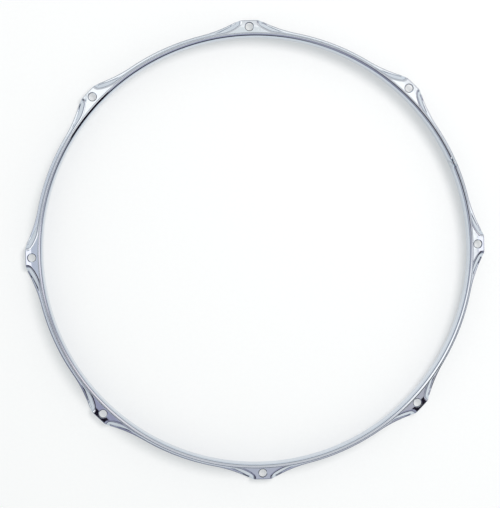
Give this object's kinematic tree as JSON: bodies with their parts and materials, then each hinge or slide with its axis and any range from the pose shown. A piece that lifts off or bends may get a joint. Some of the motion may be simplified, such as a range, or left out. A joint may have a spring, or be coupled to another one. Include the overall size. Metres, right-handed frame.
{
  "type": "drum hoop",
  "caption": "Pressed steel triple-flanged drum hoop with punched ears for tension rods, which clamps a drumhead over the edge of a shell.",
  "frame": {"origin": "on the hoop's axis, in the plane that the bottom flange rests on", "axes": "+Z along the hoop's axis towards the playing rim, +X through the middle of one ear, +Y through the ear a quarter turn on"},
  "size_m": [0.3936, 0.3936, 0.0255],
  "materials": {
    "chrome": "bright chrome plating over polished steel",
    "dressed_weld": "weld ground flush, then plated with the hoop"
  },
  "bodies": {
    "root": {"hoop_strip": "chrome", "weld_seam": "dressed_weld"}
  },
  "joints": []
}
